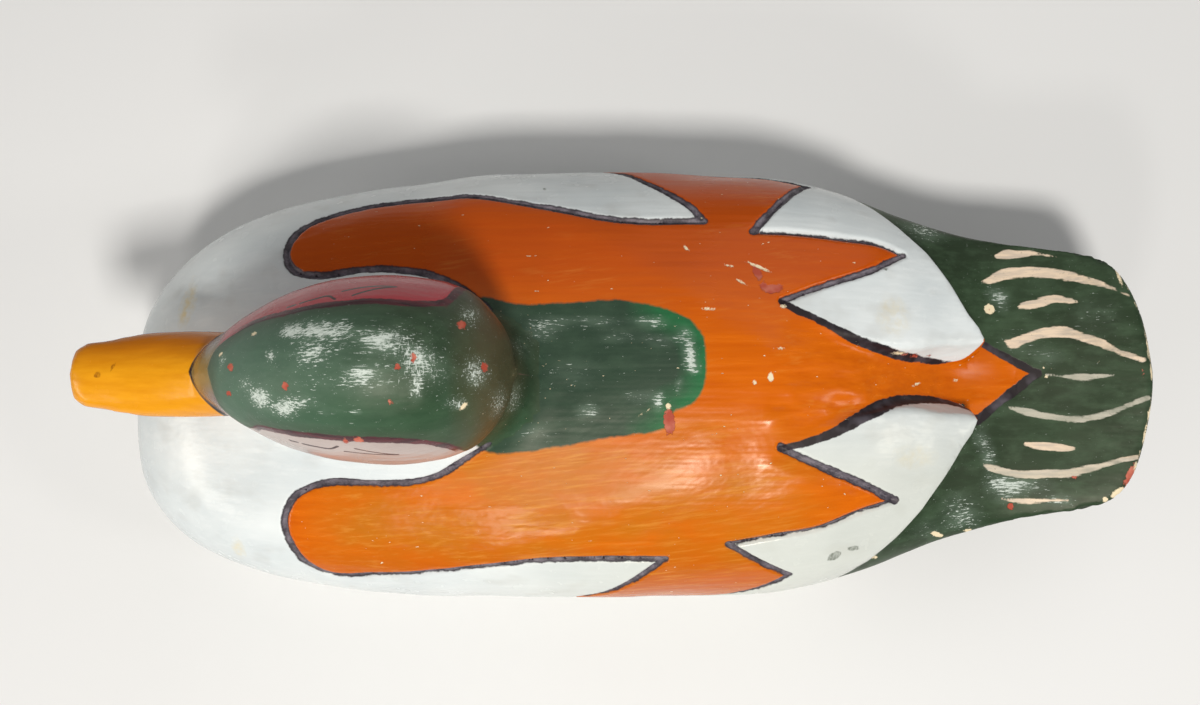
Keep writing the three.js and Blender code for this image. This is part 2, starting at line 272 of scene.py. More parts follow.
def head_field(s, y, z):
    half = head_half_plan(s) * round_end(s - HEAD_FRONT, 8, 2) * round_end(HEAD_END - s, 13, 2)
    head = section(y, z, half, head_top(s), head_mid(s), head_bottom(s), HEAD_POWER, HEAD_POWER)
    head = np.maximum(head, np.maximum(HEAD_FRONT - s, s - HEAD_END))
    along = (s - neck_centre(z)) / neck_half_length(z)
    across = y / neck_half_width(z)
    r = (np.abs(along) ** NECK_POWER + np.abs(across) ** NECK_POWER) ** (1 / NECK_POWER)
    r = np.maximum(r, 0.15)
    neck = (r - 1) * 0.5 * (neck_half_length(z) + neck_half_width(z)) * 0.85
    neck = np.maximum(neck, np.maximum(z - NECK_TOP, NECK_BASE - z))
    return smooth_min(head, neck, NECK_FILL)


def bill_field(s, y, z):
    half = bill_plan(s) * round_end(s, 6, 2.6)
    bill = section(y, z, half, bill_top(s), bill_mid(s), bill_bottom(s), BILL_POWER, BILL_LOWER_POWER)
    return np.maximum(smooth_max(bill, -s, BILL_EDGE), s - BILL_ROOT)


def duck_field(s, y, z):
    """Negative in the wood; about the distance in millimetres near its surface."""
    head = smooth_min(head_field(s, y, z), bill_field(s, y, z), BILL_FILL)
    whole = smooth_min(body_field(s, y, z), head, BACK_FILL)
    return smooth_max(whole, -z, BASE_EDGE)


def surface_net(values, origin, step):
    """Points and quads of the zero surface of a field given on a grid."""
    size = np.array(values.shape)
    total = np.zeros((*(size - 1), 3))
    count = np.zeros(size - 1)
    quads = []
    ids = np.full(size - 1, -1, int)
    crossings = []
    for axis in range(3):
        low = [slice(None)] * 3
        high = [slice(None)] * 3
        low[axis], high[axis] = slice(None, -1), slice(1, None)
        f0, f1 = values[tuple(low)], values[tuple(high)]
        crosses = (f0 < 0) != (f1 < 0)
        at = np.argwhere(crosses)
        t = f0[crosses] / (f0[crosses] - f1[crosses])
        place = at.astype(float)
        place[:, axis] += t
        others = [a for a in range(3) if a != axis]
        for da in (0, -1):
            for db in (0, -1):
                cell = at.copy()
                cell[:, others[0]] += da
                cell[:, others[1]] += db
                fits = np.all((cell >= 0) & (cell < size - 1), axis=1)
                key = tuple(cell[fits].T)
                np.add.at(total, key, place[fits])
                np.add.at(count, key, 1)
        crossings.append((axis, others, at, f0[crosses] < 0))
    active = count > 0
    ids[active] = np.arange(active.sum())
    points = total[active] / count[active][:, None] * step + origin
    for axis, others, at, leaving in crossings:
        corner = []
        for da, db in ((-1, -1), (0, -1), (0, 0), (-1, 0)):
            cell = at.copy()
            cell[:, others[0]] += da
            cell[:, others[1]] += db
            corner.append(ids[tuple(np.clip(cell, 0, size - 2).T)])
        quad = np.stack(corner, axis=1)
        turn = leaving if axis != 1 else ~leaving
        quad[~turn] = quad[~turn][:, ::-1]
        quads.append(quad)
    return points, np.concatenate(quads)


def split_quads(points, quads):
    """Two triangles for each quad, along its shorter diagonal."""
    first = np.linalg.norm(points[quads[:, 0]] - points[quads[:, 2]], axis=1)
    second = np.linalg.norm(points[quads[:, 1]] - points[quads[:, 3]], axis=1)
    turned = np.where((first <= second)[:, None], quads, np.roll(quads, -1, axis=1))
    return np.concatenate([turned[:, [0, 1, 2]], turned[:, [0, 2, 3]]])


def refine(points, faces, is_long):
    """Splits the edges that is_long picks, and the faces on them to match."""
    sides = np.stack([faces, np.roll(faces, -1, axis=1)], axis=2)
    edges, which = np.unique(np.sort(sides.reshape(-1, 2), axis=1), axis=0, return_inverse=True)
    which = which.reshape(-1, 3)
    split = is_long(points[edges[:, 0]], points[edges[:, 1]])
    middle = np.full(len(edges), -1)
    middle[split] = len(points) + np.arange(split.sum())
    new_points = points[edges[split]].mean(axis=1)
    mids = middle[which]
    marked = (mids >= 0).sum(axis=1)
    out = [faces[marked == 0]]
    for turn in range(3):
        f, m = np.roll(faces, -turn, axis=1), np.roll(mids, -turn, axis=1)
        one = (marked == 1) & (m[:, 0] >= 0)
        a, b, c, ab = f[one, 0], f[one, 1], f[one, 2], m[one, 0]
        out += [np.stack([a, ab, c], 1), np.stack([ab, b, c], 1)]
        two = (marked == 2) & (m[:, 2] < 0)
        a, b, c, ab, bc = f[two, 0], f[two, 1], f[two, 2], m[two, 0], m[two, 1]
        out += [np.stack([ab, b, bc], 1), np.stack([a, ab, bc], 1), np.stack([a, bc, c], 1)]
    three = marked == 3
    (a, b, c), (ab, bc, ca) = faces[three].T, mids[three].T
    out += [np.stack(t, 1) for t in ((a, ab, ca), (ab, b, bc), (bc, c, ca), (ab, bc, ca))]
    return np.concatenate([points, new_points]), np.concatenate(out)


def field_at(points):
    return duck_field(*points.T)


def field_slope(points, gap=0.05):
    slope = np.empty_like(points)
    for axis, shift in enumerate(gap * np.eye(3)):
        slope[:, axis] = (field_at(points + shift) - field_at(points - shift)) / (2 * gap)
    return slope


def settle(points, rounds=3):
    """Moves points on to the surface."""
    for _ in range(rounds):
        slope = field_slope(points)
        size2 = np.maximum((slope ** 2).sum(axis=1), 0.04)
        step = field_at(points) / size2
        points = points - slope * np.clip(step, -1.5, 1.5)[:, None]
    return points


# The painted and carved pattern. The right side of the duck is +Y, or +1 below, and the left -1.
# Wing lines are (station, degrees about the length from straight up, at FAN_HEIGHT).
SIDES = RIGHT, LEFT = 1, -1
FAN_LINES = {}
FAN_LINES["front"] = {
    RIGHT: [
        (121, 18.7), (116, 23), (110, 27.5), (101.5, 31.7), (84, 35), (67, 35.5), (59, 39), (56, 46),
        (60, 53.5), (70, 57), (92, 58), (110, 57), (136, 51), (161, 46), (186, 46),
    ],
    LEFT: [
        (121, 18.7), (117, 21.2), (112.3, 24.2), (106.6, 27.9), (99.6, 30.2), (85.6, 31.2), (73.5, 31.5),
        (65.4, 34), (59.6, 38.4), (56.9, 45.2), (58.2, 52), (62.7, 58.5), (70.2, 62.1), (82.8, 60.8),
        (97.5, 59), (112, 56.4), (135, 53), (155, 52), (174, 52),
    ],
}
FAN_LINES["flank"] = {
    RIGHT: [
        (186, 46), (183, 50), (176, 56), (167, 64), (159, 72), (152, 77), (150, 81), (154, 83), (165, 81),
        (180, 76.5), (195, 72), (209, 69), (221, 66),
    ],
    LEFT: [
        (174, 52), (170, 55), (163, 61), (156, 67), (149, 73), (145, 78), (146, 82), (151, 84), (162, 83),
        (177, 79.5), (191, 74), (203, 67), (213, 60),
    ],
}
FAN_LINES["point"] = {
    RIGHT: [(221, 66), (211, 54), (201, 43)],
    LEFT: [(213, 60), (203, 54), (193, 48)],
}
FAN_LINES["feather"] = {
    RIGHT: [(201, 43), (215, 43.5), (229, 44), (243, 45), (249, 44)],
    LEFT: [(193, 48), (208, 46), (221, 45), (234, 42), (244.5, 41)],
}
FAN_LINES["notch"] = {
    RIGHT: [(249, 44), (238, 36), (225, 30), (209, 23)],
    LEFT: [(244.5, 41), (234, 34), (222, 28), (208, 21)],
}
# Between the lobes and the hollow the edge is drawn in plan: (station, sideways, half width of the dark line).
# That line is black paint and partly painted shade on the lobes' inner walls, wider on the left, whose wall
# faces away from the light.
LOBE_INNER = {
    RIGHT: [
        (209, 22.9, 1.0), (213.6, 20.1, 1.05), (217.5, 18.7, 1.05), (222.6, 16.1, 1.1), (227.7, 13.5, 1.2),
        (234, 10.8, 1.35), (240.4, 8.9, 1.4), (245.6, 7.4, 1.35), (251.1, 6.6, 1.2), (258.5, 6.1, 0.8),
        (264.8, 6.3, 0.3), (269.7, 7.5, -0.4), (272.5, 10, -0.8), (275, 13.5, -0.8),
    ],
    LEFT: [
        (208, -21.7, 1.0), (215.5, -19.8, 1.1), (223.3, -17, 1.4), (231.3, -12.9, 1.9), (240.1, -8.6, 2.1),
        (246.4, -6.6, 1.7), (254.4, -6, 1.2), (262.6, -6.5, 1.1), (268.2, -7.9, 1.0), (273, -10.6, 0.8),
        (275.4, -12, 0.7),
    ],
}
DIAMOND_TIP = (295, 3.0)
FLATTEN = np.array([1.0, 1.0, 0.3])
SADDLE = [
    (105, 0), (119, -21.5), (130, -22.4), (143, -20.6), (160, -17.7), (170, -16.6), (173.6, -15.2),
    (174.8, -12.2), (176.6, -9.9), (179.2, -9.5), (182.7, -6.9), (185, -2.3), (185.8, 3.8), (185.4, 9.1),
    (183.9, 13.7), (180.9, 16.8), (176.4, 19.5), (169.5, 21.5), (162.6, 23), (155, 23.4), (145.8, 22.5),
    (136.6, 21.9), (128.9, 21.9), (117, 23.5), (105, 0),
]
# The green cap of the head ends at these degrees from straight up, about a line at CAP_CENTRE
CAP_CENTRE = 108.0
CAP_END = 136.0
NECK_HALF_WIDTH = 22.0
CAP_EDGE = {
    RIGHT: [
        (47.3, 0), (48.1, 9), (49.4, 17), (51.5, 22), (56.6, 25.5), (60, 27), (67, 26), (74, 24), (86, 24),
        (103, 24.5), (109, 26), (113.6, 31), (116, 50), (118, 90), (119.5, 150), (121, 180),
    ],
    LEFT: [
        (47.3, 0), (49.2, 20), (50.5, 38), (53, 54), (57, 58), (60, 50), (62.5, 41), (66.5, 36.5), (73.5, 33),
        (80, 31.5), (98, 31), (103, 33), (108.5, 37), (113.6, 46), (116, 60), (118, 92), (119.5, 150),
        (121, 180),
    ],
}
# The eye, drawn on the left cheek as (station, height) lines; the right one lies a little higher
EYE_LINES = [
    [(71.8, 129), (74, 130)],
    [(75.5, 130.5), (79, 131.3), (83, 131.6), (85.3, 133.8)],
    [(86.7, 130.6), (93, 129.8), (100.4, 129.2)],
    [(90, 133.6), (95, 131.5), (100.4, 129.2)],
]
EYE_LIFT = {RIGHT: 6.5, LEFT: 0.0}
# Cream strokes on the tail: (station, sideways, half width)
TAIL_STROKES = [
    [(284, 41.6, 1.1), (287, 42.2, 1.8), (291, 42.2, 1.4), (295, 42.6, 0.9), (300, 41.8, 0.5),
     (306, 39.7, 0.2)],
    [(278, 32.9, 0.3), (281, 33.7, 1.4), (286, 35.6, 2.1), (291, 36, 2.2), (300, 35.6, 2), (309, 33.8, 1.7),
     (315, 31.9, 1.4), (320, 29.6, 0.5), (324, 27.6, 0.3)],
    [(290, 24.6, 0.9), (293, 25.2, 1.8), (298, 26.3, 1.8), (301, 27.1, 1.6), (305, 26.7, 1.3), (309, 26, 0.4)],
    [(285, 13.5, 0.6), (287, 12.7, 1.6), (293, 14.8, 1.8), (298, 16.2, 1.8), (304, 16.3, 1.7), (308, 15.1, 1.6),
     (314, 12.7, 1.4), (320, 9.8, 1.1), (327, 6.8, 0.9)],
    [(298, 2.4, 0.5), (304, 2, 0.9), (309, 1.7, 1.4), (314, 1.9, 1.1), (319, 2.4, 0.3)],
    [(286, -7.8, 0.8), (291, -9.1, 1.5), (297, -10.7, 1.3), (303, -11.6, 1.3), (309, -11.7, 1.3),
     (315, -10.4, 1.3), (322, -7.7, 1.1), (328, -5.2, 1)],
    [(291, -19.6, 0.9), (295, -20.2, 1.5), (300, -20.7, 1.5), (304, -21.1, 1.1), (306, -21.1, 0.4)],
    [(277, -26.2, 0.6), (281, -27.8, 1.4), (286, -29.2, 1.4), (292, -29.7, 1.5), (298, -29.4, 1.5),
     (305, -29, 1.5), (313, -27.1, 1.3), (319, -25.2, 1.1), (325, -23.7, 0.8)],
    [(283, -37.3, 0.5), (288, -37.9, 1.1), (292, -37.9, 1.3), (297, -37.9, 0.9), (304, -37.9, 0.5)],
]


def smooth_line(points, spacing=1.5):
    """A Catmull-Rom curve through points, sampled about every spacing."""
    p = np.array(points, float)
    if len(p) < 3:
        count = max(2, int(np.linalg.norm(p[-1] - p[0]) / spacing) + 1)
        return p[0] + np.linspace(0, 1, count)[:, None] * (p[-1] - p[0])
    knots = np.concatenate([[0], np.cumsum(np.linalg.norm(np.diff(p, axis=0), axis=1) ** 0.5)])
    slope = np.diff(p, axis=0) / np.diff(knots)[:, None]
    bend = np.empty_like(p)
    bend[0], bend[-1] = slope[0], slope[-1]
    before, after = np.diff(knots)[:-1, None], np.diff(knots)[1:, None]
    bend[1:-1] = (slope[:-1] * after + slope[1:] * before) / (before + after)
    out = []
    for i in range(len(p) - 1):
        run = knots[i + 1] - knots[i]
        count = max(2, int(np.linalg.norm(p[i + 1] - p[i]) / spacing) + 1)
        t = np.linspace(0, 1, count, endpoint=False)[:, None]
        out.append(cubic(t, run, p[i], p[i + 1], bend[i], bend[i + 1]))
    out.append(p[-1:])
    return np.concatenate(out)


def meet_surface(field, start, direction, reach):
    """Where rays that start inside the wood leave it, found by halving."""
    halvings = 26
    near = np.zeros(len(start))
    far = np.full(len(start), float(reach))
    for _ in range(halvings):
        half = (near + far) / 2
        at = start + direction * half[:, None]
        inside = field(*at.T) < 0
        near = np.where(inside, half, near)
        far = np.where(inside, far, half)
    return start + direction * near[:, None]


def on_body(fan_line):
    """Surface points of a (station, degrees) line."""
    line = smooth_line(fan_line)
    angle = np.radians(line[:, 1])
    start = np.stack([line[:, 0], drift(line[:, 0]), np.full(len(line), FAN_HEIGHT)], 1)
    direction = np.stack([np.zeros(len(line)), np.sin(angle), np.cos(angle)], 1)
    return meet_surface(duck_field, start, direction, WIDTH)


def on_tail(plan_line):
    """Surface points of a (station, sideways) line seen from above, behind the middle of the back."""
    line = np.array(plan_line, float)
    middle = (rump_top(line[:, 0]) + belly(line[:, 0])) / 2
    start = np.stack([line[:, 0], line[:, 1], np.minimum(middle, rump_top(line[:, 0]) - 3)], 1)
    return meet_surface(body_field, start, UP, 60)


def on_head(side_line, side):
    """Surface points of a (station, height) line on one side of the head."""
    line = smooth_line(side_line, 1.0)
    start = np.stack([line[:, 0], np.zeros(len(line)), line[:, 1]], 1)
    return meet_surface(head_field, start, np.array([0.0, side, 0.0]), HEAD_WIDTH)


def in_reach(points, line, limit):
    """Which points lie in the line's box, or no further from it than the limit."""
    low, high = line.min(axis=0) - limit, line.max(axis=0) + limit
    return np.flatnonzero((points > low).all(axis=1) & (points < high).all(axis=1))


def feet(points, line):
    """For each piece of a line, how far along it and where it comes nearest to the points, and the gaps."""
    for start, end in zip(line, line[1:]):
        step = end - start
        t = np.clip((points - start) @ step / max(step @ step, 1e-9), 0, 1)
        foot = start + t[:, None] * step
        yield t, foot, np.linalg.norm(points - foot, axis=1)


def line_distance(points, line, widths, limit=FAR):
    """Distance from each point to a line, less the line's half width there; limit where far away."""
    widths = np.broadcast_to(np.asarray(widths, float), (len(line),))
    best = np.full(len(points), limit)
    index = in_reach(points, line, limit)
    for i, (t, _, gap) in enumerate(feet(points[index], line)):
        best[index] = np.minimum(best[index], gap - widths[i] - t * (widths[i + 1] - widths[i]))
    return best


def closest_on_lines(points, lines, limit):
    """The nearest point of any line, and how far it is, for points within the limit."""
    target = points.copy()
    best = np.full(len(points), limit)
    for line in lines:
        index = in_reach(points, line, limit)
        for _, foot, gap in feet(points[index], line):
            closer = gap < best[index]
            best[index[closer]] = gap[closer]
            target[index[closer]] = foot[closer]
    return target, best


def near_lines(points, lines, limit):
    """Whether points lie within the limit of any line."""
    return closest_on_lines(points, lines, limit)[1] < limit


def make_lines():
    """Every line round the wings as surface points, by name and side."""
    lines = {}
    for side in SIDES:
        for name, drawn in FAN_LINES.items():
            lines[name, side] = on_body([(s, side * degrees) for s, degrees in drawn[side]])
        lines["inner", side] = on_tail(smooth_line(LOBE_INNER[side])[:, :2])
        start = lines["inner", side][-1]
        diamond = np.linspace(start[:2], DIAMOND_TIP, 12)
        lines["diamond", side] = np.concatenate([start[None], on_tail(diamond)[1:]])
    return lines


def stroke_lines():
    """The strokes on the tail as surface points, each with its half widths."""
    paths = [smooth_line(stroke) for stroke in TAIL_STROKES]
    return [(on_tail(path[:, :2]), path[:, 2]) for path in paths]


def eye_lines():
    return [on_head([(s, z + EYE_LIFT[side]) for s, z in line], side) for side in SIDES for line in EYE_LINES]


def fan_degrees(points):
    return np.degrees(np.arctan2(points[:, 1] - drift(points[:, 0]), points[:, 2] - FAN_HEIGHT))


def orange_distance(points, lines):
    """Signed distance to the edge of the orange wings, negative on them."""
    order = (*FAN_LINES, "inner", "diamond")
    right = [lines[name, RIGHT] for name in order]
    left = [lines[name, LEFT][::-1] for name in reversed(order)]
    outline = np.concatenate(right + left)
    corners = np.stack([outline[:, 0], fan_degrees(outline)], 1)
    inside = inside_outline(points[:, 0], fan_degrees(points), corners)
    closed = np.concatenate([outline, outline[:1]])
    gap = line_distance(points, closed, 0.0)
    return np.where(inside, -gap, gap)


def green_tail_distance(points):
    """Signed distance to the edge of the green rump and tail, negative on them."""
    s, y, z = points.T
    behind = -plan_distance(s, y, WINGS_IN_PLAN) + 0.5
    flank_edge = GREEN_FLANK_START + 0.25 * (45 - z) - s
    t = np.clip((z - 44) / 8, 0, 1)
    t = t * t * (3 - 2 * t)
    return flank_edge * (1 - t) + behind * t


def cap_distance(points):
    """Signed distance to the edge of the green cap, and of the green neck behind it."""
    s, y, z = points.T
    degrees = np.degrees(np.arctan2(np.abs(y), z - CAP_CENTRE))
    reach = np.maximum(np.hypot(y, z - CAP_CENTRE), 8)
    out = np.full(len(points), FAR)
    for side in SIDES:
        edge = profile(CAP_EDGE[side])
        rise = np.radians(edge(s + 0.5) - edge(s - 0.5)) * reach
        signed = np.radians(degrees - edge(s)) * reach / np.hypot(1, rise)
        out = np.where(np.sign(y + 1e-9) == side, signed, out)
    out = np.maximum(out, np.maximum(CAP_EDGE[RIGHT][0][0] - s, s - CAP_END))
    out = np.where(z < 100, np.maximum(out, np.abs(y) - NECK_HALF_WIDTH), out)
    return np.where(z > CHIN_LEVEL, out, FAR)


def saddle_distance(points):
    """Signed distance to the edge of the green patch on the back, negative on it."""
    s, y, z = points.T
    return np.where(z > 80, plan_distance(s, y, smooth_line(SADDLE, 2.5)[:-1]), FAR)


def bill_distance(points):
    """Signed distance to the line where the bill's paint meets the head, negative on the bill."""
    s, y, z = points.T
    edge = HEAD_FRONT + 0.6 + 8 * np.clip(np.abs(y) / 12, 0, 1.4) ** 1.3
    return np.where(z > CHIN_LEVEL, (s - edge) * 0.8, FAR)


def inner_line_distance(points, lines):
    """Distance in plan from the dark line along the inner edges of the lobes, less its half width; the line is
    black paint and partly painted shade on the walls.
    """
    flattened = points * FLATTEN
    return np.minimum.reduce([
        line_distance(flattened, lines["inner", side] * FLATTEN, smooth_line(LOBE_INNER[side])[:, 2])
        for side in SIDES
    ])


# Soft ridges, or dips where the rise is negative: (rise, reach, line seen from above)
RIDGES = [
    (1.0, 6.0, [(108, -56), (130, -50.5), (147, -46.5)]),
    (0.45, 7.0, [(158, -40), (172, -31), (186, -20)]),
    (0.6, 6.0, [(112, 56), (132, 51), (153, 44), (170, 34), (184, 24)]),
    (0.9, 3.0, [(212, -5.5), (222, -4.2), (234, -4.8)]),
    (0.55, 2.6, [(205, -26.5), (217, -31.5), (230, -36.5)]),
    (0.75, 2.5, [(206, -12), (214, -9.5), (221, -9)]),
    (-0.5, 2.0, [(206, -8.5), (216, -7), (228, -7.4)]),
    (0.5, 4.0, [(205, 8), (218, 5), (232, 3)]),
]


def ridge_height(points):
    height = np.zeros(len(points))
    for rise, reach, line in RIDGES:
        gap = line_distance(points[:, :2], smooth_line(line), 0.0, 4 * reach)
        height += rise * np.exp(-(gap / reach) ** 2)
    return np.where(points[:, 2] > 45, height, 0)


# The swells that the knife and rasp left: (length, height), each of so many waves
SWELLS = [(46, 0.34), (27, 0.20), (15, 0.09)]
SWELL_WAVES = 7


def relief(points):
    """How deep the surface is cut by the swells, in millimetres, less the ridges."""
    rng = np.random.default_rng(7)
    depth = np.zeros(len(points))
    for size, height in SWELLS:
        for _ in range(SWELL_WAVES):
            direction = rng.normal(size=3)
            direction /= np.linalg.norm(direction)
            direction[0] *= 0.6
            turns = (points @ direction) * 2 * np.pi / size
            depth += height / 2.6 * np.sin(turns + rng.uniform(0, 2 * np.pi))
    off_base = np.clip(points[:, 2] / 6, 0, 1)
    return depth * off_base - ridge_height(points)


def make_points():
    """The duck's surface as points and triangles, finer along the pattern, with the grooves cut in."""
    lines = make_lines()
    low = np.array([-4.0, -WIDTH / 2 - 5, -4.0])
    grid = [np.arange(low[0], LENGTH + 5, GRID), np.arange(low[1], WIDTH / 2 + 6, GRID),
            np.arange(low[2], HEIGHT + 5, GRID)]
    values = duck_field(grid[0][:, None, None], grid[1][None, :, None], grid[2][None, None, :])
    points, quads = surface_net(values, low, GRID)
    faces = split_quads(points, quads)
    points = settle(points)

    carved = [lines[key] for key in product(FAN_LINES, SIDES)]
    drawn = [lines[key] for key in product(("diamond", "inner"), SIDES)]
    drawn += [path for path, _ in stroke_lines()] + [tail_rim()]
    eyes = eye_lines()
    chips = []
    for spots in (RED_CHIPS, PALE_CHIPS, DARK_SPOTS):
        for (_, _, half_length, _, degrees), place in on_top(spots):
            turn = math.radians(degrees)
            reach = half_length * np.array([math.cos(turn), math.sin(turn), 0.0])
            chips.append(np.array([place - reach, place + reach]))

    def is_long(a, b):
        """Whether an edge on the pattern is longer than wanted there."""
        length = np.linalg.norm(a - b, axis=1)
        middle = (a + b) / 2
        long = length > np.where(near_lines(middle, eyes, EYE_REACH), LONGEST_EYE_EDGE, LONGEST_EDGE)
        chosen = np.flatnonzero(long)
        middle = middle[chosen]
        borders = (cap_distance, bill_distance, saddle_distance, green_tail_distance)
        border_gap = np.abs([distance(middle) for distance in borders]).min(axis=0)
        near = near_lines(middle, carved + drawn + eyes, LINE_REACH)
        near |= (border_gap < BORDER_REACH) | near_lines(middle, chips, CHIP_REACH)
        long[chosen[~near]] = False
        return long

    for _ in range(4):
        points, faces = refine(points, faces, is_long)
        points = settle(points, 2)

    target, gap = closest_on_lines(points, carved, SNAP_REACH)
    snapped = gap < SNAP_REACH
    points[snapped] = target[snapped]
    slope = field_slope(points)
    normal = slope / np.maximum(np.linalg.norm(slope, axis=1, keepdims=True), 1e-6)
    depth = relief(points)
    _, gap = closest_on_lines(points, carved, GROOVE_WIDTH)
    depth += GROOVE_DEPTH * np.clip(1 - gap / (GROOVE_WIDTH / 2), 0, 1)
    carved_points = points - normal * depth[:, None]
    carved_points[:, 2] = np.maximum(carved_points[:, 2], 0)
    return points, carved_points, faces, lines


# Wear. Spots are (station, sideways, half length, half width, degrees turned), seen from above. They are
# looked up from these heights, which are inside the wood.
HEAD_BASE, BODY_BASE, BILL_BASE = 115.0, 45.0, 97.0
THIN_TAIL = 270
RED_CHIPS = {
    HEAD_BASE: [
        (56.4, -0.2, 1.3, 1.1, 0), (55.2, -7, 1.1, 0.7, 0), (73.9, -5.7, 1.0, 1.1, 0), (101, -9.9, 0.8, 0.7, 0),
        (103.1, -1.1, 0.8, 0.8, 0), (107, 1.3, 0.9, 1.3, 0), (118, 10.7, 1.2, 1.3, 0),
        (123.8, -0.2, 0.9, 1.2, 0), (91.7, -19.2, 1.5, 0.9, 0), (88, -19.4, 0.9, 0.8, 0),
    ],
    BODY_BASE: [
        (174.6, -13.6, 1.8, 4.4, 6), (206.3, 26.8, 3.3, 1.5, 8), (201.9, 31.4, 1.2, 2.6, 25),
        (203.4, 27.6, 1.3, 1.3, 0), (286.2, -39.9, 1.2, 1.1, 0), (306.1, -30.5, 0.9, 0.6, 0),
        (322.4, -29.8, 1.2, 4.0, -22), (248, 7.6, 1.0, 0.5, 0), (252, 7.2, 1.6, 0.5, 0),
        (257, 7.4, 1.0, 0.4, 0), (279.9, 23.6, 0.5, 0.6, 0), (326.8, 3.2, 0.6, 1.6, 0),
    ],
}
PALE_CHIPS = {
    HEAD_BASE: [(52.2, 3.6, 0.9, 0.5, 30), (63, 8.5, 0.8, 0.6, 0), (118.5, -10.5, 1.2, 0.5, 40)],
    BODY_BASE: [
        (204.9, -0.1, 0.9, 1.5, 0), (200, -1.7, 0.6, 0.6, 0), (186.7, 20.3, 1.8, 0.5, 0),
        (180.3, 39.6, 1.1, 0.4, -50), (193.3, 33.9, 1.0, 0.35, -15), (208.1, 8.5, 0.9, 0.4, 0),
        (174.3, -8.9, 0.8, 1.0, 0), (168, -10.2, 1.9, 0.22, 32), (280, 23.8, 1.9, 1.7, 0),
        (253.2, -1.2, 1.3, 0.35, 25), (267.8, 0.5, 0.8, 0.4, 0), (246, 7.9, 2.2, 0.4, 0),
        (321.2, 34.6, 0.5, 3.0, 12), (319.2, -35.0, 2.4, 1.0, 35), (315.2, -37.4, 0.8, 0.7, 0),
        (262.1, -48.6, 2.8, 0.7, -20), (272.8, -47.6, 1.4, 0.5, 0), (241, -55.5, 1.6, 0.6, -20),
        (297.2, 4.6, 0.4, 0.35, 0), (299.6, 4.8, 0.35, 0.3, 0), (314, 6.6, 0.3, 0.3, 0),
        (298, 1.9, 0.5, 0.45, 0), (196.6, 28.9, 1.8, 0.35, -30), (202.2, 33.8, 3.4, 0.4, -25),
        (209.3, 21.5, 0.9, 0.6, 0),
    ],
}
DARK_SPOTS = {
    BILL_BASE: [(9.6, -0.4, 1.2, 1.0, 0), (14.2, 1.6, 0.9, 0.25, 60)],
    BODY_BASE: [
        (136.5, 61, 0.4, 0.4, 0), (226.2, -54.5, 2.1, 1.3, 30), (233, -52, 1.8, 0.7, 0),
        (312.1, 34, 0.5, 0.4, 0), (242.5, 34.0, 0.9, 0.6, 0),
    ],
}
YELLOW_STAINS = {
    BODY_BASE: [
        (23, 23, 1.6, 4.4, -8), (24.5, 27, 1.3, 3, 0), (244, 19, 5, 6, 0), (250, -24, 6, 3, 0),
        (40, -52, 1.2, 2, 0),
    ],
}
# Rubbed places, (station, sideways, reach along, reach across, how much)
RUBBED = {
    HEAD_BASE: [
        (74.2, 8.4, 2.6, 1.8, 1.1), (80.4, 8.4, 4.5, 2.4, 0.75), (81.2, 1.9, 4, 2.6, 0.8),
        (69.7, 2.3, 1.5, 1.3, 1.2), (87.3, 8.2, 4.5, 2.2, 0.6), (99.1, 5.5, 4.4, 2.3, 1.0),
        (94.1, -2.7, 3.9, 1.7, 0.9), (107.7, 0.8, 3.2, 3.4, 0.65), (107.6, -6.5, 1.4, 2.6, 0.8),
        (121.8, -1.9, 3.2, 3.8, 0.9), (116.9, -10.1, 3, 1.6, 0.7), (65.9, -8.4, 3.2, 2.4, 1.5),
        (73, -11.6, 3.6, 1.7, 1.2), (76.6, -9.8, 6, 1.6, 0.8), (85.4, -12.1, 2.4, 0.6, 1.0),
        (92.3, -12.3, 1.4, 0.6, 1.0), (53.2, 1.5, 1.2, 1.8, 0.9), (126.7, -9.5, 2.8, 4.6, 0.7),
        (119.7, 13.7, 3.1, 3.9, 0.5), (112.5, -2.4, 5, 5.5, 0.32), (61.3, -4.8, 3, 2, 0.5),
        (83, -4.9, 12, 3.3, 0.3), (96.2, -6.1, 6.7, 2.8, 0.35), (86, 5, 15, 6, 0.34), (104, 1.5, 8, 7, 0.3),
    ],
    BODY_BASE: [
        (137, 14.5, 5, 3.4, 0.8), (150, 16.5, 12, 1.6, 0.6), (160, 12, 8, 2, 0.45), (169, 16.5, 5, 1.8, 0.8),
        (172.6, 10.8, 5, 1.4, 0.7), (180.8, 6.8, 1.7, 4.2, 1.7), (179, 13, 2.4, 2.4, 0.8),
        (182, 2.8, 1.2, 1.6, 1.4), (171.3, -7.4, 1.6, 2.6, 1.2), (177.8, -2.4, 1.0, 1.8, 1.0),
        (150.5, -10.5, 3.6, 2.2, 0.9), (147, 1, 9, 5, 0.35), (166, -6, 5, 2, 0.6), (129, -7, 3, 5, 0.6),
        (134, -17, 6, 3, 0.5), (131, 8, 4, 4, 0.4), (259.6, 49.8, 8, 4, 0.8), (282, 29, 3.4, 3, 0.6),
        (284.5, 26, 2.6, 3, 0.7), (299, 8, 5, 3, 0.4), (276, -18, 2.6, 4, 0.65), (279, -24, 2.4, 5, 0.8),
        (281, -32, 4, 3, 0.8), (286, -33.5, 5, 2.6, 0.95), (294, -33, 6, 2.2, 0.7), (284, -37, 4, 2, 0.6),
        (301, -38, 5, 2.0, 0.8), (314, 21, 9, 8, 0.3), (268.6, -40, 6, 5, 0.6), (272, -45, 6, 4, 0.5),
        (258, -47, 7, 4, 0.4), (289, 12, 8, 6, 0.3),
    ],
}


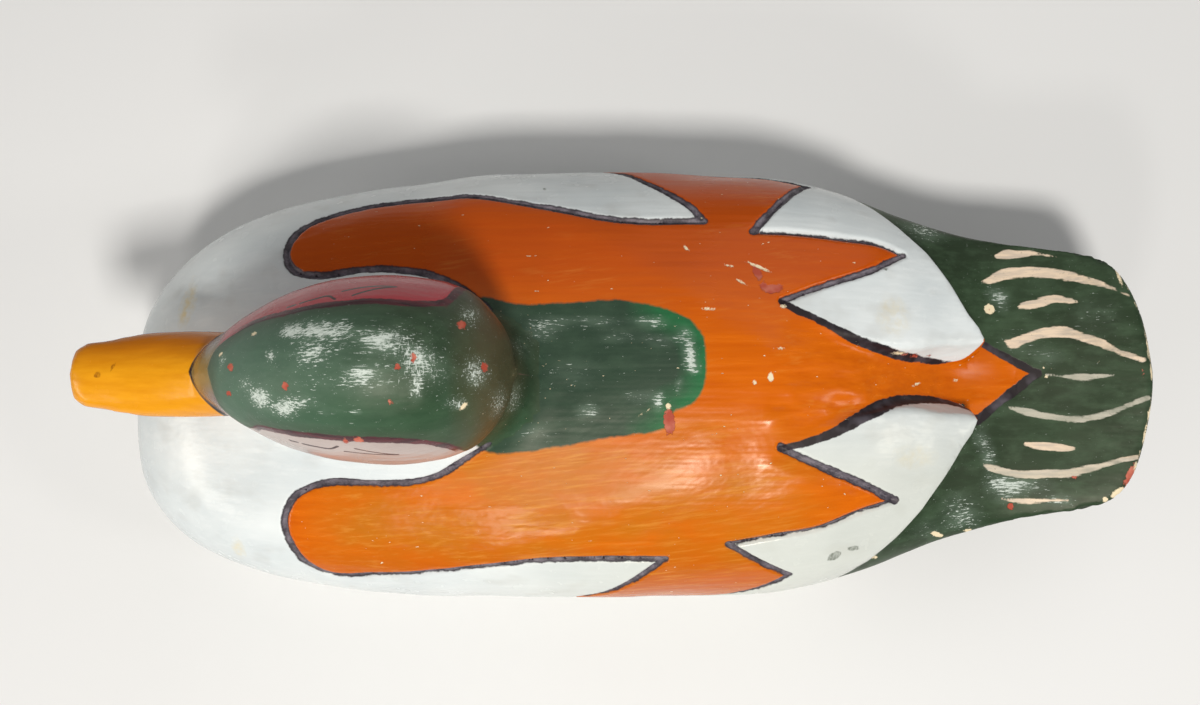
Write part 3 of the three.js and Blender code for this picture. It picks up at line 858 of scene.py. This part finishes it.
def on_top(spots):
    """Each spot with the point of the surface straight above it."""
    rows = [(spot, base) for base, group in spots.items() for spot in group]
    start = np.array([(*spot[:2], base) for spot, base in rows], float)
    middle = (rump_top(start[:, 0]) + belly(start[:, 0])) / 2
    start[:, 2] = np.where(start[:, 0] > THIN_TAIL, middle, start[:, 2])
    found = meet_surface(duck_field, start, UP, 70)
    return [(spot, place) for (spot, _), place in zip(rows, found)]


def spot_distance(points, spots):
    """Signed distance to the nearest spot, negative in it."""
    best = np.full(len(points), FAR)
    for (_, _, half_length, half_width, degrees), place in on_top(spots):
        offset = points - place
        cosine, sine = math.cos(math.radians(degrees)), math.sin(math.radians(degrees))
        along = (offset[:, 0] * cosine + offset[:, 1] * sine) / half_length
        across = (offset[:, 1] * cosine - offset[:, 0] * sine) / half_width
        up = offset[:, 2] / (half_width + 3)
        far = (np.sqrt(along ** 2 + across ** 2 + up ** 2) - 1) * min(half_length, half_width)
        best = np.minimum(best, far)
    return best


def rubbed_amount(points):
    total = np.zeros(len(points))
    for (_, _, along, across, amount), place in on_top(RUBBED):
        offset = (points - place) / np.array([along, across, 8.0])
        total += amount * np.exp(-(offset ** 2).sum(axis=1))
    return total


def tail_rim():
    """The upper edge round the end of the tail."""
    y = np.linspace(-40, 40, 81)
    centred = y - TAIL_DRIFT
    s = LENGTH - 0.6 - np.maximum(centred ** 2 / (2 * TAIL_ARC_RADIUS), END_SKEW * (centred - 2))
    return on_tail(np.stack([s, y], 1))


LINE_HALF_WIDTH = {
    "front": {RIGHT: 1.35, LEFT: 1.2}, "flank": {RIGHT: 1.3, LEFT: 1.0}, "point": {RIGHT: 1.35, LEFT: 1.1},
    "feather": {RIGHT: 0.45, LEFT: 0.5}, "notch": {RIGHT: 0.95, LEFT: 1.3},
}
DIAMOND_HALF_WIDTH = {RIGHT: 1.15, LEFT: 1.5}
EYE_HALF_WIDTH = 0.42


def line_widths(name, side, count):
    """Half widths along a dark line; the left front line is thinner along its middle."""
    widths = np.full(count, LINE_HALF_WIDTH[name][side])
    if (name, side) == ("front", LEFT):
        widths *= np.interp(np.linspace(0, 1, count), (0.42, 0.52, 0.7, 0.82), (1, 0.66, 0.66, 1))
    return widths


def paint_fields(points, lines):
    """Distances in millimetres to the edges of each colour, negative inside it, by name."""
    def least_distance(drawn):
        return np.minimum.reduce([line_distance(points, line, widths) for line, widths in drawn])

    grooves = [(lines[key], line_widths(*key, len(lines[key]))) for key in product(FAN_LINES, SIDES)]
    diamond = [(lines["diamond", side], DIAMOND_HALF_WIDTH[side]) for side in SIDES]
    return {
        "wing": orange_distance(points, lines),
        "line": least_distance(grooves),
        "wall": np.minimum(inner_line_distance(points, lines), least_distance(diamond)),
        "tail": green_tail_distance(points),
        "cap": cap_distance(points),
        "saddle": saddle_distance(points),
        "bill": bill_distance(points),
        "eye": least_distance([(line, EYE_HALF_WIDTH) for line in eye_lines()]),
        "stroke": least_distance(stroke_lines()),
        "red_chip": spot_distance(points, RED_CHIPS),
        "pale_chip": spot_distance(points, PALE_CHIPS),
        "dark_spot": spot_distance(points, DARK_SPOTS),
        "stain": spot_distance(points, YELLOW_STAINS),
        "rub": rubbed_amount(points),
        "rim": line_distance(points, tail_rim(), 0.0),
    }


def srgb(red, green, blue):
    """A colour given in 0 to 255, as linear light."""
    linear = [(c / 255 / 12.92 if c <= 10 else ((c / 255 + 0.055) / 1.055) ** 2.4) for c in (red, green, blue)]
    return (*linear, 1.0)


class Shading:
    """Short names for the nodes of one material. Lengths are in millimetres."""

    def __init__(self, name):
        self.material = bpy.data.materials.new(name)
        self.material.use_nodes = True
        self.tree = self.material.node_tree
        self.tree.nodes.clear()

    def node(self, kind, inputs, output=0, **settings):
        made = self.tree.nodes.new("ShaderNode" + kind)
        for key, value in settings.items():
            setattr(made, key, value)
        for key, value in inputs.items():
            if isinstance(value, bpy.types.NodeSocket):
                self.tree.links.new(value, made.inputs[key])
            else:
                made.inputs[key].default_value = value
        return made.outputs[output] if made.outputs else None

    def math(self, operation, first, *others):
        for other in others:
            first = self.node("Math", {0: first, 1: other}, operation=operation)
        return first

    def add(self, *values):
        return self.math("ADD", *values)

    def times(self, *values):
        return self.math("MULTIPLY", *values)

    def most(self, *values):
        return self.math("MAXIMUM", *values)

    def absolute(self, value):
        return self.node("Math", {0: value}, operation="ABSOLUTE")

    def value(self, name):
        return self.node("Attribute", {}, "Fac", attribute_name=name)

    def place(self, sizes, shift=(0.0, 0.0, 0.0), turn=0.0):
        """Object coordinates with one unit as long as each size, turned about Z by degrees."""
        source = self.node("TexCoord", {}, "Object")
        if turn:
            turned = {"Vector": source, "Angle": math.radians(turn)}
            source = self.node("VectorRotate", turned, rotation_type="Z_AXIS")
        scale = tuple(1 / (size * MM) for size in sizes)
        return self.node("VectorMath", {0: source, 1: scale, 2: shift}, operation="MULTIPLY_ADD")

    def noise(self, sizes, detail=3.0, roughness=0.55, shift=0.0, turn=0.0):
        """Noise from 0 to 1 whose blotches have these sizes along, across and up."""
        inputs = {"Vector": self.place(sizes, (shift, shift, shift), turn), "Scale": 1.0, "Detail": detail,
                  "Roughness": roughness}
        return self.node("TexNoise", inputs, "Fac")

    def ramp(self, value, low, high, start=0.0, end=1.0):
        inputs = {"Value": value, "From Min": low, "From Max": high, "To Min": start, "To Max": end}
        return self.node("MapRange", inputs, clamp=True)

    def inside(self, distance, soft):
        """1 inside an edge and 0 outside, over a soft width."""
        return self.ramp(distance, soft / 2, -soft / 2)

    def mix(self, amount, below, above):
        return self.node("Mix", {0: amount, 6: below, 7: above}, 2, data_type="RGBA")

    def layers(self, colour, *above):
        """A colour with others over it, each (amount, red, green, blue)."""
        for amount, *rgb in above:
            colour = self.mix(amount, colour, srgb(*rgb))
        return colour

    def blend(self, amount, below, above):
        return self.node("Mix", {0: amount, 2: below, 3: above}, 0, data_type="FLOAT")


def painted_wood():
    """Old gloss paint on wood: every colour, line, chip and rubbed place of the duck."""
    m = Shading("painted_duck")
    noise, ramp, layers = m.noise, m.ramp, m.layers
    fine = noise((1.5, 1.5, 1.5), 2.0, shift=3.1)
    broad = noise((6, 6, 6), 2.0, shift=8.7)
    wobble = m.add(m.times(m.add(fine, -0.5), 0.7), m.times(m.add(broad, -0.5), 1.3))
    soft_wobble = m.times(wobble, 0.45)

    def edge(name, soft=0.35, waver=wobble):
        return m.inside(m.add(m.value(name), waver), soft)

    streaks = noise((34, 2.2, 2.6), 4.0, 0.6)
    long_streaks = noise((70, 5, 6), 3.0, 0.5, shift=5.5)
    clouds = noise((30, 22, 22), 3.0, 0.5, shift=1.7)
    speckle = noise((1.1, 0.7, 0.7), 2.0, 0.7, shift=4.4)
    rub = m.value("rub")
    along, across, height = m.node("SeparateXYZ", {0: m.place((1, 1, 1))}, 0).node.outputs

    # White
    stain = m.times(m.inside(m.add(m.value("stain"), m.times(wobble, 2.0)), 3.0),
                    ramp(noise((2.5, 2.5, 2.5), 3.0, shift=7.0), 0.35, 0.65, 0.1, 0.75),
                    ramp(along, -60.0, 40.0, 1.0, 0.3))
    colour = layers(
        srgb(206, 212, 212),
        (ramp(clouds, 0.3, 0.7), 226, 230, 228),
        (ramp(streaks, 0.5, 0.75, 0, 0.35), 232, 235, 233),
        (ramp(noise((12, 9, 9), 2.0, 0.5, shift=2.2), 0.55, 0.8, 0, 0.35), 178, 176, 168),
        # painted shade: the white darkened towards cream along the left side, more towards the back, partly a
        # creamier paint
        (m.times(ramp(across, 0.0, -30.0), ramp(along, -60.0, 10.0, 0.0, 0.6)), 198, 199, 186),
        (stain, 222, 196, 118),
    )
    rough = ramp(broad, 0.2, 0.8, 0.2, 0.3)

    # Orange wings, brushed along the length: on the left a golden tone with pale scratches, partly paint and
    # partly a painted golden sheen and painted glints; on the right redder and darker, painted shade with
    # painted red reflected light
    golden_tone_and_sheen = m.times(ramp(across, -8.0, -22.0), ramp(along, 70.0, 30.0), ramp(along, -104.0, -84.0),
                     ramp(noise((22, 12, 14), 3.0, shift=9.4), 0.3, 0.6, 0.3, 1.0))
    scratched_and_sheen = m.most(golden_tone_and_sheen, ramp(noise((24, 12, 14), 2.0, shift=9.9), 0.5, 0.66, 0, 0.5))
    pale_scratch_and_glint = ramp(noise((13, 1.1, 1.3), 4.0, 0.6, shift=6.6, turn=-8.0), 0.5, 0.72, 0, 0.4)
    orange = layers(
        srgb(198, 88, 0),
        (ramp(streaks, 0.3, 0.7), 218, 106, 2),
        (ramp(long_streaks, 0.35, 0.7, 0, 0.6), 206, 96, 2),
        (ramp(clouds, 0.55, 0.8, 0, 0.4), 184, 78, 2),
        # painted shade and painted red reflected light: the right side of the wings redder and darker
        (ramp(across, 8.0, 34.0, 0, 0.7), 178, 64, 0),
        # painted sheen in part: the golden tone on the left where the light shines
        (m.times(golden_tone_and_sheen, 0.85), 186, 108, 16),
        (ramp(across, -50.0, -62.0, 0, 0.7), 186, 84, 4),
        # pale scratches, partly painted glints
        (m.times(pale_scratch_and_glint, scratched_and_sheen), 228, 160, 70),
    )
    on_wing = edge("wing", 0.3, soft_wobble)
    colour = m.mix(on_wing, colour, orange)
    dull = m.times(ramp(along, 26.0, -14.0), ramp(along, -66.0, -52.0), ramp(across, -40.0, -34.0, 0, 0.24))
    rough = m.blend(on_wing, rough, m.add(ramp(streaks, 0.2, 0.8, 0.2, 0.3), dull))

    # Green of the tail, the patch on the back and the cap of the head
    mottle = noise((9, 5, 6), 4.0, 0.6, shift=13.7)
    green = layers(
        srgb(34, 50, 32),
        (ramp(clouds, 0.35, 0.65), 46, 65, 44),
        (ramp(mottle, 0.45, 0.7, 0, 0.6), 66, 87, 64),
        (ramp(streaks, 0.5, 0.75, 0, 0.4), 62, 85, 60),
        (ramp(mottle, 0.5, 0.3, 0, 0.5), 36, 54, 34),
    )
    on_tail_paint = m.times(edge("tail", 0.3, soft_wobble), m.inside(m.times(m.value("wing"), -1.0), 0.3))
    patch_rim = m.times(ramp(m.value("saddle"), -9.0, -2.0), ramp(along, -4.0, 8.0),
                        ramp(mottle, 0.3, 0.6, 0.5, 1.0))
    patch = layers(green, (0.5, 44, 70, 58), (patch_rim, 30, 104, 60))
    on_patch = edge("saddle", 0.8)
    colour = m.mix(on_patch, m.mix(on_tail_paint, colour, green), patch)

    # Head: a pale left cheek and a rose right cheek, the rose partly paint and partly painted red reflected
    # light; a dark line along them; and the green cap, lighter at the front and tinted down its left side as
    # painted light and shade
    on_head_paint = ramp(height, 92.0, 96.0)
    pale_cheek = layers(srgb(182, 168, 162), (ramp(clouds, 0.35, 0.65), 168, 152, 146))
    # the right cheek's rose: partly paint, partly painted red reflected light
    rose_paint_and_red_reflection = layers(srgb(180, 54, 66), (ramp(clouds, 0.35, 0.65), 164, 44, 56))
    cheek = m.mix(ramp(m.add(across, m.times(wobble, 2.0)), -1.5, 1.5), pale_cheek, rose_paint_and_red_reflection)
    brow = layers(srgb(134, 116, 72), (ramp(m.absolute(across), 3.0, 8.0), 104, 82, 74))
    on_brow = m.times(ramp(m.add(along, wobble), -112.0, -115.0), ramp(height, 102.0, 106.0))
    behind = m.times(ramp(m.add(along, broad), -50.0, -42.0), ramp(height, 92.0, 104.0, 0, 0.7))
    cap = layers(
        green,
        # painted light: the cap lighter towards its front
        (ramp(along, -108.0, -58.0, 0.62, 0.06), 96, 126, 108),
        # painted light and shade: the cap's left side tinted a deeper green
        (ramp(across, 2.0, -14.0, 0.0, 0.4), 38, 80, 50),
        (ramp(m.value("cap"), -5.0, 0.0, 0.0, 0.5), 52, 62, 44),
        (behind, 76, 70, 46),
    )
    on_cap = edge("cap", 0.5, soft_wobble)
    cheek_line = m.inside(m.add(m.absolute(m.add(m.value("cap"), -0.4)), wobble, -1.15), 0.4)
    cheek_line = m.times(cheek_line, ramp(along, -112.0, -104.0), ramp(height, 119.0, 123.0))
    plum = layers(srgb(52, 22, 32), (ramp(streaks, 0.4, 0.65), 92, 36, 46))
    head_paint = ((on_head_paint, cheek), (on_brow, brow), (on_cap, cap), (cheek_line, plum))
    for amount, paint in head_paint:
        colour = m.mix(amount, colour, paint)
    any_green = m.most(on_tail_paint, on_patch, on_cap)
    rough = m.blend(any_green, rough, ramp(streaks, 0.2, 0.8, 0.4, 0.54))

    # Bill
    bill = layers(
        srgb(220, 142, 14),
        (ramp(streaks, 0.3, 0.7), 234, 158, 24),
        (ramp(clouds, 0.5, 0.8, 0.0, 0.5), 204, 120, 4),
        # painted shade and painted red reflected light: the bill's right side darker and redder
        (ramp(across, 1.0, 9.0, 0.0, 0.7), 178, 86, 4),
    )
    on_bill = edge("bill", 0.3, soft_wobble)
    bill_line = m.inside(m.add(m.absolute(m.value("bill")), soft_wobble, -0.5), 0.35)
    colour = layers(m.mix(on_bill, colour, bill), (bill_line, 34, 28, 30))

    # Rubbed places on the green: hairs along the head, across its crown, and aslant on its right
    hairs = m.add(noise((3.4, 0.5, 0.6), 4.0, 0.75, shift=12.3), m.times(rub, 0.22),
                  m.times(on_head_paint, 0.025), -0.695)
    on_crown = m.times(ramp(along, -68.0, -60.0), ramp(along, -38.0, -44.0))
    crossed = m.add(noise((0.5, 2.4, 2.4), 4.0, 0.75, shift=15.8), m.times(rub, on_crown, 0.24), -0.7)
    slanted = m.add(noise((2.8, 0.5, 0.6), 4.0, 0.75, shift=19.2, turn=-20.0),
                    m.times(rub, ramp(across, 2.0, 7.0), on_head_paint, 0.24), -0.69)
    scuffed = m.times(ramp(m.most(hairs, crossed, slanted), 0.0, 0.05), any_green,
                      ramp(speckle, 0.3, 0.5, 0.35, 0.9))
    haze = m.times(ramp(rub, 0.1, 1.0, 0.0, 0.55), any_green, ramp(mottle, 0.3, 0.6, 0.3, 1.0))
    colour = layers(colour, (haze, 118, 136, 120), (scuffed, 206, 214, 204))
    rough = m.blend(scuffed, rough, 0.6)

    # Cream strokes on the tail, chalky by the middle, thinner than drawn where the brush ran dry
    stroke_edge = m.add(m.times(wobble, 0.7), m.times(m.add(streaks, -0.5), 2.2), 0.3)
    on_stroke = m.inside(m.add(m.value("stroke"), stroke_edge), 0.4)
    cream = layers(srgb(232, 208, 180), (ramp(noise((8, 1.2, 1.2), 3.0, shift=2.9), 0.4, 0.7), 196, 180, 162))
    chalk = layers(srgb(190, 186, 170), (ramp(streaks, 0.4, 0.6), 164, 166, 150))
    chalky = m.most(m.times(ramp(across, 7.0, 3.0), ramp(across, -17.0, -13.0, 0, 0.85)),
                    m.times(ramp(across, -23.5, -25.0), ramp(across, -35.0, -33.0, 0, 0.5)))
    thin = m.times(ramp(along, 132.0, 160.0), ramp(mottle, 0.4, 0.6, 0, -0.5))
    on_stroke = m.times(on_stroke, ramp(speckle, 0.24, 0.34, 0.4, 1.0), m.add(1.0, thin))
    colour = m.mix(on_stroke, colour, m.mix(chalky, cream, chalk))

    # Dark lines in and beside the grooves, grey along their middles: worn paint, and partly a painted highlight
    # on the lit wall of the groove
    # grey middles of the lines: worn paint, partly a painted highlight on the lit groove wall
    worn_and_lit_black = ramp(noise((5, 3, 3), 4.0, 0.7, shift=18.1), 0.4, 0.62, 0.25, 1.0)
    middle = ramp(m.add(m.value("line"), m.times(wobble, 0.6)), -0.1, -0.55)
    dark = layers(srgb(42, 38, 46), (m.times(worn_and_lit_black, middle), 122, 114, 122))
    on_line = edge("line")
    # painted shade in part: the lobes' inner walls dark, black paint with shade painted in
    on_wall_line_and_shade = edge("wall")
    wall_black_and_shade = layers(srgb(34, 28, 34), (ramp(broad, 0.45, 0.8), 84, 78, 86))
    on_eye = m.inside(m.add(m.value("eye"), m.times(wobble, 0.25)), 0.25)
    colour = m.mix(on_wall_line_and_shade, m.mix(on_line, colour, dark), wall_black_and_shade)
    colour = layers(colour, (on_eye, 56, 26, 30))
    any_line = m.most(on_line, on_wall_line_and_shade)
    rough = m.blend(any_line, rough, 0.5)

    # Chips and specks, and the worn rim of the tail
    ragged = m.times(m.add(noise((0.9, 0.9, 0.9), 3.0, 0.7, shift=31.0), -0.5), 1.8)
    ragged = m.add(m.times(wobble, 0.6), ragged)
    rim_noise = m.times(m.add(noise((4, 9, 4), 4.0, 0.7, shift=21.5), -0.5), 4.0)
    pale = m.most(
        m.inside(m.add(m.value("pale_chip"), m.times(ragged, 0.6)), 0.25),
        m.inside(m.add(m.value("rim"), rim_noise, -0.15), 0.4),
        m.times(ramp(noise((2.2, 1.1, 1.1), 2.0, 0.6, shift=25.0), 0.735, 0.76), on_wing),
    )
    red = m.inside(m.add(m.value("red_chip"), ragged, 0.15), 0.25)
    undercoat = layers(srgb(170, 72, 54), (ramp(broad, 0.4, 0.6), 196, 116, 96))
    spot = m.inside(m.add(m.value("dark_spot"), m.times(wobble, 1.2)), 0.3)
    smudge = m.times(spot, ramp(noise((0.8, 2.4, 2.0), 3.0, 0.6, shift=27.0), 0.35, 0.6, 0.35, 0.8))
    colour = m.mix(red, layers(colour, (pale, 232, 214, 178)), undercoat)
    colour = m.mix(smudge, colour, layers(srgb(88, 96, 82), (on_bill, 132, 72, 8)))
    worn = m.most(pale, red)
    rough = m.blend(worn, rough, 0.7)

    # Underside: bare wood and rubbed paint where the duck stands
    underneath = ramp(m.add(height, m.times(wobble, 0.8)), 0.9, 0.2)
    bare = layers(srgb(150, 112, 72), (ramp(streaks, 0.3, 0.7), 176, 138, 94))
    colour = m.mix(underneath, colour, bare)
    rough = m.blend(underneath, rough, 0.7)

    # Brush marks stand up a little, chips and lines lie lower
    brush = m.times(noise((30, 2.4, 2.8), 1.0, 0.5, shift=40.2), ramp(height, 54.0, 66.0, 0.02, 0.15))
    waves = m.times(noise((7, 4.5, 5), 2.0, 0.5, shift=44.4, turn=-20.0),
                    ramp(across, 10.0, -20.0, 0.2, 1.0), ramp(height, 54.0, 68.0, 0.05, 1.0), 0.2)
    lift = m.add(brush, waves, m.times(worn, -0.12), m.times(any_line, broad, -0.1), m.times(on_stroke, 0.08))
    normal = m.node("Bump", {"Height": lift, "Distance": MM, "Strength": 1.0})
    shader = m.node("BsdfPrincipled", {
        "Base Color": colour, "Roughness": rough, "Normal": normal, "Specular IOR Level": 0.3,
        "Specular Tint": (1.0, 0.91, 0.76, 1.0),
    })
    m.node("OutputMaterial", {"Surface": shader})
    return m.material


# Blender objects
def add_to_scene(name, data):
    made = bpy.data.objects.new(name, data)
    bpy.context.scene.collection.objects.link(made)
    return made


def make_duck():
    points, carved_points, faces, lines = make_points()
    mesh = bpy.data.meshes.new("painted_duck")
    shown = (carved_points - np.array([MIDDLE, 0.0, 0.0])) * MM
    mesh.from_pydata(shown.tolist(), [], faces.tolist())
    for name, values in paint_fields(points, lines).items():
        mesh.attributes.new(name, "FLOAT", "POINT").data.foreach_set("value", values.astype(np.float32))
    mesh.shade_smooth()
    mesh.update()
    mesh.materials.append(painted_wood())
    duck = add_to_scene("painted_duck", mesh)
    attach(duck, "root")
    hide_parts("carved_duck")


def make_floor():
    paint = Shading("plain_floor")
    shader = paint.node("BsdfPrincipled", {
        "Base Color": (0.78, 0.77, 0.75, 1.0), "Roughness": 0.85, "Specular IOR Level": 0.2,
    })
    paint.node("OutputMaterial", {"Surface": shader})
    half = 3.0
    corners = [(-half, -half, 0), (half, -half, 0), (half, half, 0), (-half, half, 0)]
    mesh = bpy.data.meshes.new("floor")
    mesh.from_pydata(corners, [], [(0, 1, 2, 3)])
    mesh.materials.append(paint.material)
    add_to_scene("floor", mesh)


def make_light(name, place, size, power, colour):
    """A soft light, so wide and so high, that faces the middle of the duck."""
    data = bpy.data.lights.new(name, "AREA")
    data.shape = "RECTANGLE"
    data.size, data.size_y = size
    data.energy = power
    data.color = colour
    light = add_to_scene(name, data)
    light.location = place
    towards = Vector((0, 0, 0.06)) - Vector(place)
    light.rotation_euler = towards.to_track_quat("-Z", "Y").to_euler()


def make_camera():
    """A camera that looks down, a little tilted towards +Y."""
    data = bpy.data.cameras.new("camera")
    data.sensor_width = SENSOR_WIDTH
    data.lens = SENSOR_WIDTH * FOCAL_LENGTH / PICTURE_WIDTH
    data.clip_start = 0.01
    camera = add_to_scene("camera", data)
    camera.location = CAMERA_PLACE
    camera.rotation_euler = (math.atan(CAMERA_TILT / FOCAL_LENGTH), 0, 0)
    bpy.context.scene.camera = camera


def make_world():
    world = bpy.data.worlds.new("studio")
    world.use_nodes = True
    background = world.node_tree.nodes["Background"]
    background.inputs["Color"].default_value = (0.86, 0.88, 0.9, 1.0)
    background.inputs["Strength"].default_value = 0.18
    bpy.context.scene.world = world


make_duck()
make_floor()
make_camera()
make_world()
WARM_WHITE = (1.0, 0.99, 0.97)
make_light("key", (0.08, -0.48, 1.05), (0.17, 0.17), 9.5, (1.0, 0.985, 0.96))
make_light("front", (-1.23, -0.47, 0.46), (0.9, 0.22), 5.0, WARM_WHITE)
make_light("side", (-0.25, -1.1, 0.95), (0.17, 0.17), 2.6, WARM_WHITE)
make_light("fill", (0.35, 0.75, 0.9), (0.9, 0.9), 2.0, (0.96, 0.97, 1.0))
make_light("rear", (1.22, -0.3, 1.05), (0.25, 0.25), 2.4, WARM_WHITE)
bpy.context.scene.view_settings.view_transform = "Standard"
